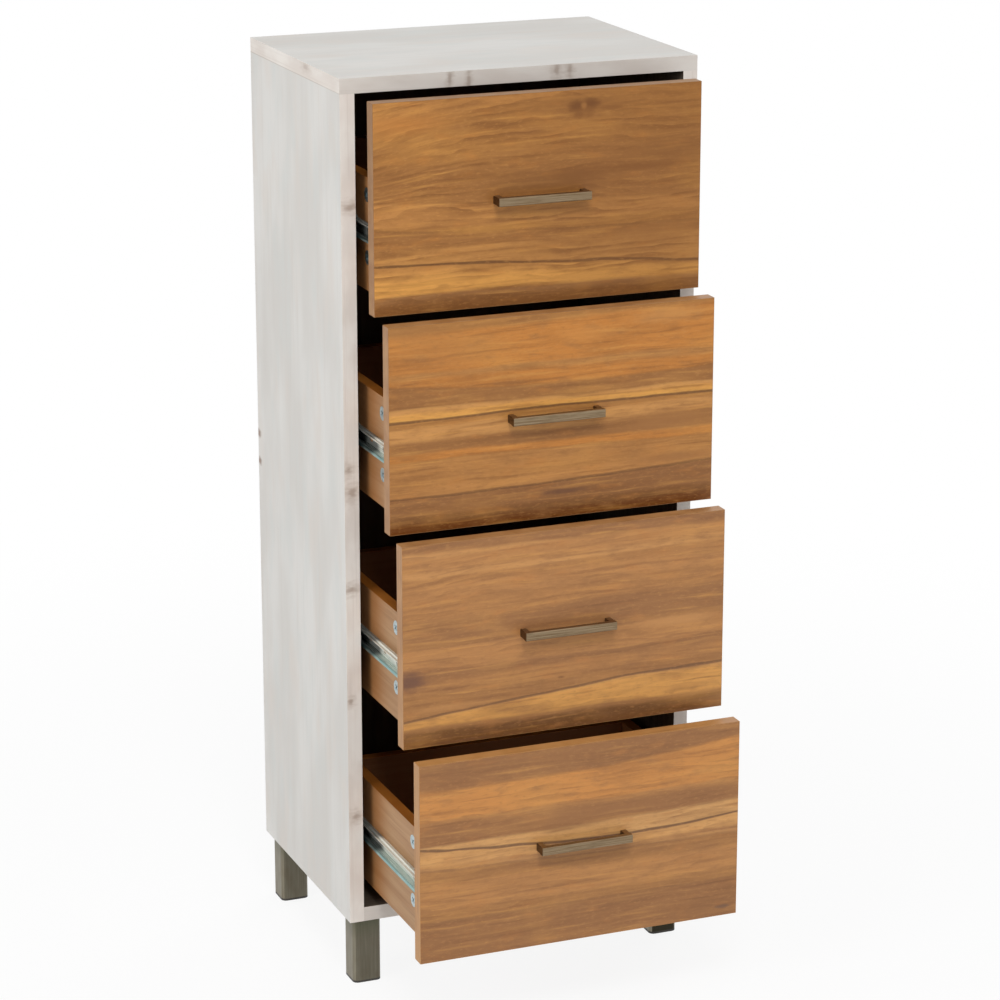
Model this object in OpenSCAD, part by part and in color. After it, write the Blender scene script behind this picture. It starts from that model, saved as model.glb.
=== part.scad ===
// Free-standing bathroom cabinet with four drawers on ball-bearing runners.
// The origin is on the floor, under the middle of the carcass. +X is to the right of someone
// who stands in front of the drawers, +Y goes to the back and +Z up.
// The drawers stand open by the distances in the section Drawer openings.

/* [Carcass] */
// Width of the carcass
body_w = 400; // [340:5:600]
// Depth of the carcass, from its front edges to its rear edges
body_d = 290; // [285:5:420]
// Height of the carcass without its legs
body_h = 925; // [860:5:1200]
// Thickness of the carcass boards
board_t = 16; // [15:0.5:19]
// Thickness of the back board
back_t = 3; // [2.5:0.5:4]
// Distance from the rear edges of the carcass to the back board
back_inset = 10; // [6:1:13]
// Depth of the groove that holds the back board
back_groove = 6; // [4:0.5:7]

/* [Legs] */
// Height from the floor to the underside of the carcass
leg_h = 75; // [50:1:120]
// Outside width of the square tube
leg_w = 32; // [24:1:36]
// Wall of the tube
leg_wall = 1.5; // [1:0.25:2.5]
// Outside radius of the tube's corners
leg_corner = 6; // [3:0.5:8]
// Distance from the edges of the carcass to a leg
leg_inset = 6; // [4:1:14]
// Width of the square plate on top of a leg
plate_w = 62; // [56:1:66]
// Thickness of that plate
plate_t = 2; // [1.5:0.5:3]
// Part of the floor glide that stands out below the tube
glide_t = 2.5; // [1.5:0.5:5]
// Length of the glide's plug inside the tube
glide_plug = 10; // [6:1:20]

/* [Drawer fronts] */
// Thickness of a drawer front
front_t = 16; // [14:0.5:19]
// Gap above, between and below the fronts
front_gap = 3; // [2:0.5:5]
// Gap beside a front
side_gap = 2; // [1.5:0.5:4]

/* [Drawer openings] */
// How far the top drawer stands open
open_1 = 49; // [0:1:180]
// How far the second drawer stands open
open_2 = 89; // [0:1:180]
// How far the third drawer stands open
open_3 = 124; // [0:1:180]
// How far the bottom drawer stands open
open_4 = 170; // [0:1:180]

/* [Drawer boxes] */
// Thickness of the side and rear walls of a drawer
box_t = 12; // [12:0.5:14]
// Height of those walls
box_h = 119; // [100:1:150]
// Height of the walls' lower edge above the lower edge of the front
box_rise = 16; // [12:1:30]
// Thickness of the drawer base
base_t = 3; // [2.5:0.5:4]
// Height of the base above the lower edge of the walls
base_rise = 10; // [7:1:16]
// Depth of the groove that holds the base
base_groove = 5; // [3:0.5:6]

/* [Runners] */
// Space for a runner between the drawer and the carcass
rail_gap = 12.7; // [12.5:0.1:13.5]
// Height of the carcass member
rail_h = 25; // [25:1:35]
// Height of the runners above the middle of the drawer walls
rail_rise = 5.5; // [-4:0.5:8]
// Length of both members
rail_l = 246; // [220:1:248]
// Travel of the drawer from closed to fully open
rail_travel = 185; // [180:1:190]
// Thickness of the pressed steel of both members
rail_sheet = 1.1; // [0.9:0.1:1.3]
// Distance from the back of a front to the front end of its runner
rail_setback = 3; // [2:0.5:6]
// Diameter of the balls
ball_d = 4; // [3.6:0.1:4.2]
// Spacing of the balls along the cage
ball_pitch = 9; // [7:0.5:12]
// Thickness of the ball cage
cage_t = 0.6; // [0.5:0.1:0.7]

/* [Handles] */
// Length of a handle over its ends
handle_l = 103; // [80:1:180]
// Height of the bar
handle_h = 9; // [8:0.5:12]
// Depth of the bar, front to back
handle_d = 7; // [6:0.5:10]
// Width of the foot at each end of the bar
handle_foot = 7; // [7:0.5:12]
// Distance that the handle stands out from the drawer front
handle_out = 17; // [16:1:35]
// Height of the handle above the middle of the front
handle_rise = 2; // [-20:1:20]
// Radius of the bar's long edges
handle_edge = 1.2; // [0.6:0.2:2]
// Diameter of the handle screws
handle_screw_d = 4; // [3:0.5:4.5]

/* [Fittings] */
// Diameter of the cam locks
cam_d = 15; // [14:0.5:16]
// Distance from the edge of a board to the centre of its cam lock
cam_edge = 34; // [28:1:40]
// Distance from the top edge of a drawer wall to its upper cam lock
box_cam_top = 18; // [14:1:24]
// Distance between the two cam locks of a drawer wall
box_cam_pitch = 66; // [60:1:72]
// Distance from the front and rear edges to the cam locks under the top board
top_cam_edge = 45; // [30:1:60]
// Distance from the front and rear edges to the cam locks of the bottom board
bottom_cam_edge = 88; // [85:1:95]
// Distance from a cam lock to the dowel beside it
dowel_pitch = 32; // [25:1:40]
// Diameter of the dowels
dowel_d = 8; // [6:1:9]
// Length of the dowels
dowel_l = 28; // [24:1:30]

/* [Hidden] */
$fn = 64;
DRAWERS = 4;
drawer_numbers = [1 : DRAWERS];
function names(word) = [for (k = drawer_numbers) str(word, k)];

// Clearances
fastener_play = 0.1;
groove_play = 0.2;
cam_play = 0.15;
ball_play = 0.05;
cage_play = 1.5;
head_play = 0.2;
race_opening = 1.2;
rail_end_spare = 1;

// How far a cut runs past the face it starts from
cut = 1;

// Small sizes of the fittings
bolt_head_d = 6;
bolt_head_l = 3.5;
bolt_neck_d = 4;
bolt_collar_d = 7;
bolt_collar_l = 1.5;
bolt_thread_d = 5;
bolt_thread_l = 10.5;
cam_floor = 1.1;
cam_drive_l = 7.5;
cam_drive_w = 1.4;
cam_drive_depth = 1.6;
dowel_in_face = 11;
hole_spare = 0.5;
screw_head_t = 1;
screw_head_d = 6.5;
screw_d = 3.2;
screw_drive_l = 3.6;
screw_drive_w = 0.8;
screw_drive_depth = 0.6;
rail_screw_bite = 9.5;
rail_screw_front = 22;
rail_screw_spacing = 176;
rail_slot_l = 9;
rail_slot_w = 4.2;
rail_slots = [60, 104, 150];
leg_screw_bite = 12;
leg_screw_head_d = 7;
leg_screw_head_t = 2;
plate_screw_edge = 8;
plate_screw_in = 20;
handle_head_d = 8;
handle_head_t = 2.2;
handle_screw_bite = 10;
handle_hole_d = 5;
box_screw_d = 5;
box_screw_head_d = 7;
box_screw_head_t = 3;
box_screw_l = 45;
box_screw_edge = 28;
back_screw_l = 16;
back_screw_head_d = 7;
back_screw_head_t = 1.4;
back_screw_side = 40;

// Derived sizes of the carcass
half_w = body_w / 2;
front_y = -body_d / 2;
rear_y = body_d / 2;
inner_x = half_w - board_t;
body_top = leg_h + body_h;
side_top = body_top - board_t;
floor_top = leg_h + board_t;
back_slot = back_t + 2 * groove_play;
back_slot_rear = rear_y - back_inset;
back_slot_front = back_slot_rear - back_slot;
leg_bore = leg_w - 2 * leg_wall;
board_cam_t = board_t / 2 + bolt_head_d / 2 + cam_play + cam_floor;
box_cam_t = box_t / 2 + bolt_head_d / 2 + cam_play + cam_floor;

// Derived sizes of the drawers, in a frame with its origin at the middle of the
// lower edge of the front's outer face
front_w = 2 * (inner_x - side_gap);
front_h = (body_h - 2 * board_t - (DRAWERS + 1) * front_gap) / DRAWERS;
box_d = rail_l + rail_setback + rail_end_spare;
box_x = inner_x - rail_gap;
box_inner_x = box_x - box_t;
box_rear = front_t + box_d;
box_top = box_rise + box_h;
rail_z = box_rise + box_h / 2 + rail_rise;
rail_y = front_t + rail_setback;
base_z = box_rise + base_rise;
handle_z = front_h / 2 + handle_rise;
handle_hole_x = (handle_l - handle_foot) / 2;
box_cam_z = box_top - box_cam_top;
open_by = [open_1, open_2, open_3, open_4];
function front_z(k) = floor_top + front_gap + (DRAWERS - k) * (front_h + front_gap);

// Derived sizes of the runners. A ball runs in the middle of the gap.
race_r = ball_d / 2 + ball_play;
ball_x = rail_gap / 2;
ball_z = rail_h / 2 - rail_sheet - race_r;
cage_l = rail_l - rail_travel - 2 * cage_play;
cage_start = rail_travel / 2 + cage_play;
cage_x = rail_sheet + screw_head_t + head_play;
cage_edge = 0.8;
balls = floor((cage_l - ball_d - 2 * cage_edge) / ball_pitch) + 1;

// Placing

module both_sides() {
    for (side = [0, 1])
        mirror([side, 0, 0])
            children();
}

module all_corners() {
    both_sides()
        for (rear = [0, 1])
            mirror([0, rear, 0])
                children();
}

module in_drawer(k) {
    translate([0, front_y - open_by[k - 1], front_z(k)])
        children();
}

// Joints on the left of the carcass and of a drawer. Each puts a child with its face at z = 0,
// its depth along +z and its bolt along +x.

module top_joint() {
    translate([-inner_x, front_y + top_cam_edge, side_top - cam_edge])
        rotate([0, -90, 0])
            children();
}

module bottom_joint() {
    translate([-inner_x + cam_edge, front_y + bottom_cam_edge, leg_h])
        rotate([0, 0, 180])
            children();
}

module box_joints() {
    for (drop = [0, box_cam_pitch])
        translate([-box_x, front_t + cam_edge, box_cam_z - drop])
            rotate([-90, 0, 0])
                rotate([0, 90, 0])
                    children();
}

// Shared shapes

module rounded_rectangle(w, h, r) {
    square([w - 2 * r, h], center = true);
    square([w, h - 2 * r], center = true);
    for (x = [-1, 1], y = [-1, 1])
        translate([x * (w / 2 - r), y * (h / 2 - r)])
            circle(r);
}

// Extrudes an outline in X and Z along +Y
module along_y(l) {
    translate([0, l, 0])
        rotate([90, 0, 0])
            linear_extrude(l)
                children();
}

// Screw along +z: the head lies below z = 0, and the shank above it
module screw(d, bite, head_d, head_t) {
    difference() {
        union() {
            translate([0, 0, -head_t])
                cylinder(d = head_d, h = head_t);
            cylinder(d = d, h = bite);
        }
        for (turn = [0, 90])
            rotate([0, 0, turn])
                translate([-screw_drive_l / 2, -screw_drive_w / 2, -head_t - cut])
                    cube([screw_drive_l, screw_drive_w, screw_drive_depth + cut]);
    }
}

module screw_hole(d, bite) {
    translate([0, 0, -cut])
        cylinder(d = d + 2 * fastener_play, h = bite + hole_spare + cut);
}

module cam_lock(t, axis) {
    chamber_d = bolt_head_d + 2 * cam_play;
    chamber_l = bolt_head_l + 2 * cam_play;
    neck = bolt_neck_d + 2 * cam_play;
    difference() {
        cylinder(d = cam_d, h = t);
        translate([-chamber_l / 2, 0, axis])
            rotate([0, 90, 0])
                cylinder(d = chamber_d, h = chamber_l);
        translate([0, 0, axis])
            rotate([0, 90, 0])
                cylinder(d = neck, h = cam_d);
        for (turn = [45, 135])
            rotate([0, 0, turn])
                translate([-cam_drive_l / 2, -cam_drive_w / 2, -cut])
                    cube([cam_drive_l, cam_drive_w, cam_drive_depth + cut]);
    }
}

module cam_bolt(axis) {
    translate([0, 0, axis])
        rotate([0, 90, 0]) {
            translate([0, 0, -bolt_head_l / 2])
                cylinder(d = bolt_head_d, h = bolt_head_l);
            cylinder(d = bolt_neck_d, h = cam_edge);
            translate([0, 0, cam_edge - bolt_collar_l])
                cylinder(d = bolt_collar_d, h = bolt_collar_l);
            translate([0, 0, cam_edge])
                cylinder(d = bolt_thread_d, h = bolt_thread_l);
        }
}

module cam_pocket(t, axis) {
    translate([0, 0, -cut])
        cylinder(d = cam_d + 2 * cam_play, h = t + cam_play + cut);
    translate([0, 0, axis])
        rotate([0, 90, 0])
            cylinder(d = bolt_collar_d + 2 * cam_play, h = cam_edge + cut);
}

module bolt_hole(axis) {
    translate([cam_edge - cut, 0, axis])
        rotate([0, 90, 0])
            cylinder(d = bolt_thread_d + 2 * fastener_play, h = bolt_thread_l + hole_spare + cut);
}

// Carcass

module top_dowel(play) {
    translate([-half_w + board_t / 2, front_y + top_cam_edge + dowel_pitch, side_top])
        translate([0, 0, dowel_in_face - dowel_l - play])
            cylinder(d = dowel_d + play, h = dowel_l + 2 * play);
}

module bottom_dowel(play) {
    translate([-inner_x - dowel_in_face - play, front_y + bottom_cam_edge + dowel_pitch, 0])
        translate([0, 0, leg_h + board_t / 2])
            rotate([0, 90, 0])
                cylinder(d = dowel_d + play, h = dowel_l + 2 * play);
}

module top_panel() {
    color([0.84, 0.83, 0.81])
        difference() {
            translate([-half_w, front_y, side_top])
                cube([body_w, body_d, board_t]);
            all_corners() {
                top_joint()
                    bolt_hole(board_t / 2);
                top_dowel(groove_play);
            }
            translate([-inner_x - back_groove, back_slot_front, side_top - cut])
                cube([2 * (inner_x + back_groove), back_slot, back_groove + cut]);
        }
}

module side_panel() {
    color([0.82, 0.81, 0.79])
        difference() {
            translate([-half_w, front_y, leg_h])
                cube([board_t, body_d, side_top - leg_h]);
            for (rear = [0, 1])
                mirror([0, rear, 0]) {
                    top_joint()
                        cam_pocket(board_cam_t, board_t / 2);
                    bottom_joint()
                        bolt_hole(board_t / 2);
                    top_dowel(groove_play);
                    bottom_dowel(groove_play);
                }
            translate([-inner_x - back_groove, back_slot_front, leg_h - cut])
                cube([back_groove + cut, back_slot, side_top - leg_h + 2 * cut]);
            for (k = drawer_numbers)
                cabinet_rail_place(k)
                    rail_screws_place()
                        screw_hole(screw_d, rail_screw_bite);
        }
}

module left_side_panel() {
    side_panel();
}

module right_side_panel() {
    mirror([1, 0, 0])
        side_panel();
}

module bottom_panel() {
    color([0.80, 0.78, 0.75])
        difference() {
            translate([-inner_x, front_y, leg_h])
                cube([2 * inner_x, back_slot_front - front_y, board_t]);
            all_corners() {
                bottom_joint()
                    cam_pocket(board_cam_t, board_t / 2);
                bottom_dowel(groove_play);
                leg_screws_place()
                    screw_hole(screw_d, leg_screw_bite);
            }
            back_screws_place()
                screw_hole(screw_d, back_screw_l);
        }
}

module back_panel() {
    edge = inner_x + back_groove - groove_play;
    color([0.78, 0.78, 0.77])
        difference() {
            translate([-edge, back_slot_front + groove_play, leg_h])
                cube([2 * edge, back_t, side_top - leg_h + back_groove - groove_play]);
            back_screws_place()
                screw_hole(screw_d, back_screw_l);
        }
}

module back_screws_place() {
    reach = inner_x - back_screw_side;
    for (x = [-reach, 0, reach])
        translate([x, back_slot_rear - groove_play, leg_h + board_t / 2])
            rotate([90, 0, 0])
                children();
}

module back_panel_screws() {
    color([0.75, 0.74, 0.70])
        back_screws_place()
            screw(screw_d, back_screw_l, back_screw_head_d, back_screw_head_t);
}

module cam_fittings() {
    color([0.74, 0.75, 0.76])
        all_corners() {
            top_joint() {
                cam_lock(board_cam_t, board_t / 2);
                cam_bolt(board_t / 2);
            }
            bottom_joint() {
                cam_lock(board_cam_t, board_t / 2);
                cam_bolt(board_t / 2);
            }
        }
}

module dowels() {
    color([0.80, 0.66, 0.45])
        all_corners() {
            top_dowel(0);
            bottom_dowel(0);
        }
}

// Legs

module leg() {
    color([0.42, 0.40, 0.35])
        translate([-half_w + leg_inset + leg_w / 2, front_y + leg_inset + leg_w / 2, glide_t])
            linear_extrude(leg_h - plate_t - glide_t)
                difference() {
                    rounded_rectangle(leg_w, leg_w, leg_corner);
                    rounded_rectangle(leg_bore, leg_bore, leg_corner - leg_wall);
                }
}

module leg_front_left() {
    leg();
}

module leg_front_right() {
    mirror([1, 0, 0])
        leg();
}

module leg_back_left() {
    mirror([0, 1, 0])
        leg();
}

module leg_back_right() {
    mirror([1, 0, 0])
        mirror([0, 1, 0])
            leg();
}

module leg_screws_place() {
    far = plate_w - plate_screw_edge;
    for (spot = [[far, plate_screw_in], [plate_screw_in, far], [far, far]])
        translate([-half_w + leg_inset + spot[0], front_y + leg_inset + spot[1], leg_h - plate_t])
            children();
}

module leg_plates() {
    color([0.40, 0.38, 0.34])
        all_corners()
            difference() {
                translate([-half_w + leg_inset, front_y + leg_inset, leg_h - plate_t])
                    cube([plate_w, plate_w, plate_t]);
                leg_screws_place()
                    screw_hole(screw_d, plate_t + cut);
            }
}

module leg_screws() {
    color([0.70, 0.70, 0.68])
        all_corners()
            leg_screws_place()
                screw(screw_d, leg_screw_bite, leg_screw_head_d, leg_screw_head_t);
}

module foot_glides() {
    plug_w = leg_bore - 2 * fastener_play;
    color([0.10, 0.10, 0.10])
        all_corners()
            translate([-half_w + leg_inset + leg_w / 2, front_y + leg_inset + leg_w / 2, 0]) {
                linear_extrude(glide_t)
                    rounded_rectangle(leg_w, leg_w, leg_corner);
                linear_extrude(glide_t + glide_plug)
                    rounded_rectangle(plug_w, plug_w, leg_corner - leg_wall);
            }
}

// Runners. The frame of a runner has x = 0 on the carcass side, +x towards the drawer, y = 0 at
// the front end of the member and z = 0 at its middle.

module cabinet_rail_place(k) {
    translate([-inner_x, front_y + rail_y, front_z(k) + rail_z])
        children();
}

module drawer_rail_place() {
    translate([-inner_x, rail_y, rail_z])
        children();
}

module race() {
    difference() {
        circle(race_r + rail_sheet);
        circle(race_r);
    }
}

module above(z) {
    intersection() {
        children();
        translate([-rail_h, z])
            square(2 * rail_h);
    }
}

module cabinet_outline() {
    translate([0, -rail_h / 2])
        square([rail_sheet, rail_h]);
    for (low = [0, 1])
        mirror([0, low]) {
            translate([0, rail_h / 2 - rail_sheet])
                square([ball_x, rail_sheet]);
            translate([ball_x, ball_z])
                above(race_opening / 2)
                    race();
        }
}

module drawer_outline() {
    flange = ball_z - race_r;
    translate([rail_gap - rail_sheet, -flange])
        square([rail_sheet, 2 * flange]);
    for (low = [0, 1])
        mirror([0, low]) {
            translate([ball_x, flange - rail_sheet])
                square([rail_gap - ball_x, rail_sheet]);
            translate([ball_x, ball_z])
                mirror([0, 1])
                    above(race_opening / 2)
                        race();
        }
}

module rail_holes() {
    for (y = [rail_screw_front, rail_screw_front + rail_screw_spacing])
        translate([-cut, y, 0])
            rotate([0, 90, 0])
                cylinder(d = screw_d + 2 * fastener_play, h = rail_gap + 2 * cut);
    for (y = rail_slots)
        for (end = [0, 1])
            translate([-cut, y + end * (rail_slot_l - rail_slot_w), 0])
                rotate([0, 90, 0])
                    cylinder(d = rail_slot_w, h = rail_gap + 2 * cut);
    for (y = rail_slots)
        translate([-cut, y, -rail_slot_w / 2])
            cube([rail_gap + 2 * cut, rail_slot_l - rail_slot_w, rail_slot_w]);
}

// Puts a child's head on the carcass member's web and its shank into the side panel
module rail_screws_place() {
    for (y = [rail_screw_front, rail_screw_front + rail_screw_spacing])
        translate([rail_sheet, y, 0])
            rotate([0, -90, 0])
                children();
}

// The same for the drawer member and the drawer wall
module box_rail_screws_place() {
    for (y = [rail_screw_front, rail_screw_front + rail_screw_spacing])
        translate([rail_gap - rail_sheet, y, 0])
            rotate([0, 90, 0])
                children();
}

module cabinet_rails(k) {
    color([0.72, 0.74, 0.74])
        both_sides()
            cabinet_rail_place(k)
                difference() {
                    along_y(rail_l)
                        cabinet_outline();
                    rail_holes();
                }
}

module rail_screws() {
    color([0.78, 0.77, 0.72])
        for (k = drawer_numbers)
            both_sides()
                cabinet_rail_place(k)
                    rail_screws_place()
                        screw(screw_d, rail_screw_bite, screw_head_d, screw_head_t);
}

module drawer_rails(k) {
    color([0.76, 0.78, 0.78])
        in_drawer(k)
            both_sides()
                drawer_rail_place()
                    difference() {
                        along_y(rail_l)
                            drawer_outline();
                        rail_holes();
                    }
}

module ball_row() {
    first = (cage_l - (balls - 1) * ball_pitch) / 2;
    for (n = [0 : balls - 1], low = [-1, 1])
        translate([ball_x, first + n * ball_pitch, low * ball_z])
            children();
}

// The cage moves half as far as its drawer
module ball_cages(k) {
    tongue = ball_x + ball_d / 2 + cage_edge;
    color([0.20, 0.21, 0.22])
        both_sides()
            cabinet_rail_place(k)
                translate([0, cage_start - open_by[k - 1] / 2, 0]) {
                    difference() {
                        union() {
                            translate([cage_x, 0, -ball_z - cage_t / 2])
                                cube([cage_t, cage_l, 2 * ball_z + cage_t]);
                            for (low = [-1, 1])
                                translate([cage_x, 0, low * ball_z - cage_t / 2])
                                    cube([tongue - cage_x, cage_l, cage_t]);
                        }
                        ball_row()
                            cylinder(d = ball_d + 2 * ball_play, h = cage_t + 2 * cut, center = true);
                    }
                    ball_row()
                        sphere(d = ball_d);
                }
}

// Drawers

module drawer_front(k) {
    color([0.66, 0.45, 0.24])
        in_drawer(k)
            difference() {
                translate([-front_w / 2, 0, 0])
                    cube([front_w, front_t, front_h]);
                translate([-box_inner_x - base_groove, front_t - base_groove, base_z])
                    translate([0, 0, -groove_play])
                        cube([2 * (box_inner_x + base_groove), base_groove + cut, base_t + 2 * groove_play]);
                both_sides() {
                    box_joints()
                        bolt_hole(box_t / 2);
                    translate([handle_hole_x, -cut, handle_z])
                        rotate([-90, 0, 0])
                            cylinder(d = handle_hole_d, h = front_t + 2 * cut);
                }
            }
}

module drawer_wall() {
    difference() {
        translate([-box_x, front_t, box_rise])
            cube([box_t, box_d, box_h]);
        translate([-box_inner_x - base_groove, front_t - cut, base_z - groove_play])
            cube([base_groove + cut, box_d - box_t + base_groove + cut, base_t + 2 * groove_play]);
        box_joints()
            cam_pocket(box_cam_t, box_t / 2);
        drawer_rail_place()
            box_rail_screws_place()
                screw_hole(screw_d, rail_screw_bite);
        box_screws_place() {
            screw_hole(box_screw_d, box_screw_l);
            translate([0, 0, -cut])
                cylinder(d = box_screw_head_d + 2 * fastener_play, h = box_screw_head_t + cut);
        }
    }
}

module drawer_left_wall(k) {
    color([0.55, 0.37, 0.22])
        in_drawer(k)
            drawer_wall();
}

module drawer_right_wall(k) {
    color([0.55, 0.37, 0.22])
        in_drawer(k)
            mirror([1, 0, 0])
                drawer_wall();
}

// A long screw enters the outer face of a side wall, with its head sunk flush
module box_screws_place() {
    for (z = [box_rise + box_screw_edge, box_top - box_screw_edge])
        translate([-box_x, box_rear - box_t / 2, z])
            rotate([0, 90, 0])
                children();
}

module box_screw() {
    translate([0, 0, box_screw_head_t])
        screw(box_screw_d, box_screw_l - box_screw_head_t, box_screw_head_d, box_screw_head_t);
}

module drawer_rear_wall(k) {
    color([0.53, 0.36, 0.21])
        in_drawer(k)
            difference() {
                translate([-box_inner_x, box_rear - box_t, box_rise])
                    cube([2 * box_inner_x, box_t, box_h]);
                translate([-box_inner_x - cut, box_rear - box_t - cut, base_z - groove_play])
                    cube([2 * (box_inner_x + cut), base_groove + cut, base_t + 2 * groove_play]);
                both_sides()
                    box_screws_place()
                        screw_hole(box_screw_d, box_screw_l);
            }
}

module drawer_base(k) {
    edge = box_inner_x + base_groove - groove_play;
    first = front_t - base_groove + groove_play;
    last = box_rear - box_t + base_groove - groove_play;
    color([0.60, 0.44, 0.29])
        in_drawer(k)
            translate([-edge, first, base_z])
                cube([2 * edge, last - first, base_t]);
}

module drawer_handle(k) {
    color([0.58, 0.53, 0.45])
        in_drawer(k)
            translate([0, 0, handle_z])
                difference() {
                    union() {
                        translate([-handle_l / 2, -handle_out + handle_d / 2, 0])
                            rotate([90, 0, 90])
                                linear_extrude(handle_l)
                                    rounded_rectangle(handle_d, handle_h, handle_edge);
                        for (x = [-handle_hole_x, handle_hole_x])
                            translate([x, -handle_out + handle_d / 2, 0])
                                along_y(handle_out - handle_d / 2)
                                    rounded_rectangle(handle_foot, handle_h, handle_edge);
                    }
                    for (x = [-handle_hole_x, handle_hole_x])
                        translate([x, 0, 0])
                            rotate([90, 0, 0])
                                screw_hole(handle_screw_d, handle_screw_bite);
                }
}

module drawer_cam_fittings(k) {
    color([0.74, 0.75, 0.76])
        in_drawer(k)
            both_sides()
                box_joints() {
                    cam_lock(box_cam_t, box_t / 2);
                    cam_bolt(box_t / 2);
                }
}

module drawer_screws(k) {
    color([0.78, 0.77, 0.72])
        in_drawer(k)
            both_sides() {
                translate([handle_hole_x, front_t, handle_z])
                    rotate([90, 0, 0])
                        screw(handle_screw_d, front_t + handle_screw_bite, handle_head_d, handle_head_t);
                drawer_rail_place()
                    box_rail_screws_place()
                        screw(screw_d, rail_screw_bite, screw_head_d, screw_head_t);
                box_screws_place()
                    box_screw();
            }
}

top_panel();
bottom_panel();
left_side_panel();
right_side_panel();
back_panel();
leg_front_left();
leg_front_right();
leg_back_left();
leg_back_right();
leg_plates();
leg_screws();
foot_glides();
cam_fittings();
dowels();
back_panel_screws();
rail_screws();
for (k = drawer_numbers) {
    cabinet_rails(k);
    ball_cages(k);
    drawer_front(k);
    drawer_left_wall(k);
    drawer_right_wall(k);
    drawer_rear_wall(k);
    drawer_base(k);
    drawer_handle(k);
    drawer_rails(k);
    drawer_cam_fittings(k);
    drawer_screws(k);
}
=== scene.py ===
"""The looks of a free-standing bathroom cabinet with four drawers on ball-bearing runners.

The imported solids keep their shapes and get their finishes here. The thin strips that close the
cut edges of the boards are added, and then the floor, the light and the camera."""

from math import radians

import bmesh
import bpy
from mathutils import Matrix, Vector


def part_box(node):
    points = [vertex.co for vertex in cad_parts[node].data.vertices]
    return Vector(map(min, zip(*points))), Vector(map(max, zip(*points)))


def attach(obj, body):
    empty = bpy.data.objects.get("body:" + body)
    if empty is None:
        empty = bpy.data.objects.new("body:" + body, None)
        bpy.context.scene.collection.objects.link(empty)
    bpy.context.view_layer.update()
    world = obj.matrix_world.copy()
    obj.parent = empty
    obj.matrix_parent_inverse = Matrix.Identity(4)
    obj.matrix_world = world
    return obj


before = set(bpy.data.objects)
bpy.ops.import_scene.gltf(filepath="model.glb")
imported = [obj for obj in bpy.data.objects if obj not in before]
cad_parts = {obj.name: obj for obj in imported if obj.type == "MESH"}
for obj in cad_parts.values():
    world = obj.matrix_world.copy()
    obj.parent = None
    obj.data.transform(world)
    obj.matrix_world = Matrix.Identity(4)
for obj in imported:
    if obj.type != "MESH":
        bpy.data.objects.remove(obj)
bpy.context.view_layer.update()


# Camera. It looks from the left and a little above the top board, from about four metres away, so
# that the upright edges of the cabinet stay nearly parallel.
TURNED_RIGHT, TILTED_DOWN = 21.955, 16.525
LENS_MM = 125.63
camera = bpy.data.objects.new("photo_camera", bpy.data.cameras.new("photo_camera"))
camera.location = (-1.36094, -3.46074, 1.59640)
camera.rotation_euler = (radians(90 - TILTED_DOWN), 0, radians(-TURNED_RIGHT))
camera.data.lens = LENS_MM
bpy.context.scene.collection.objects.link(camera)
bpy.context.scene.camera = camera


# Carcass boards. The top, the sides and the bottom are 16 mm chipboard, faced with paper printed
# as whitewashed pine. The grain runs up the sides and along the top and the bottom, and the inner
# faces are painted a dark brown, as painted shade for the unlit inside of the carcass.
MM = 1000  # millimetres in a metre


def tone(red, green, blue):
    """A colour on the maker's card, 0 to 255, as light values, by the curve that screens use."""
    card = [c / 255 for c in (red, green, blue)]
    return [c / 12.92 if c <= 0.04045 else ((c + 0.055) / 1.055) ** 2.4 for c in card] + [1.0]


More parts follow.
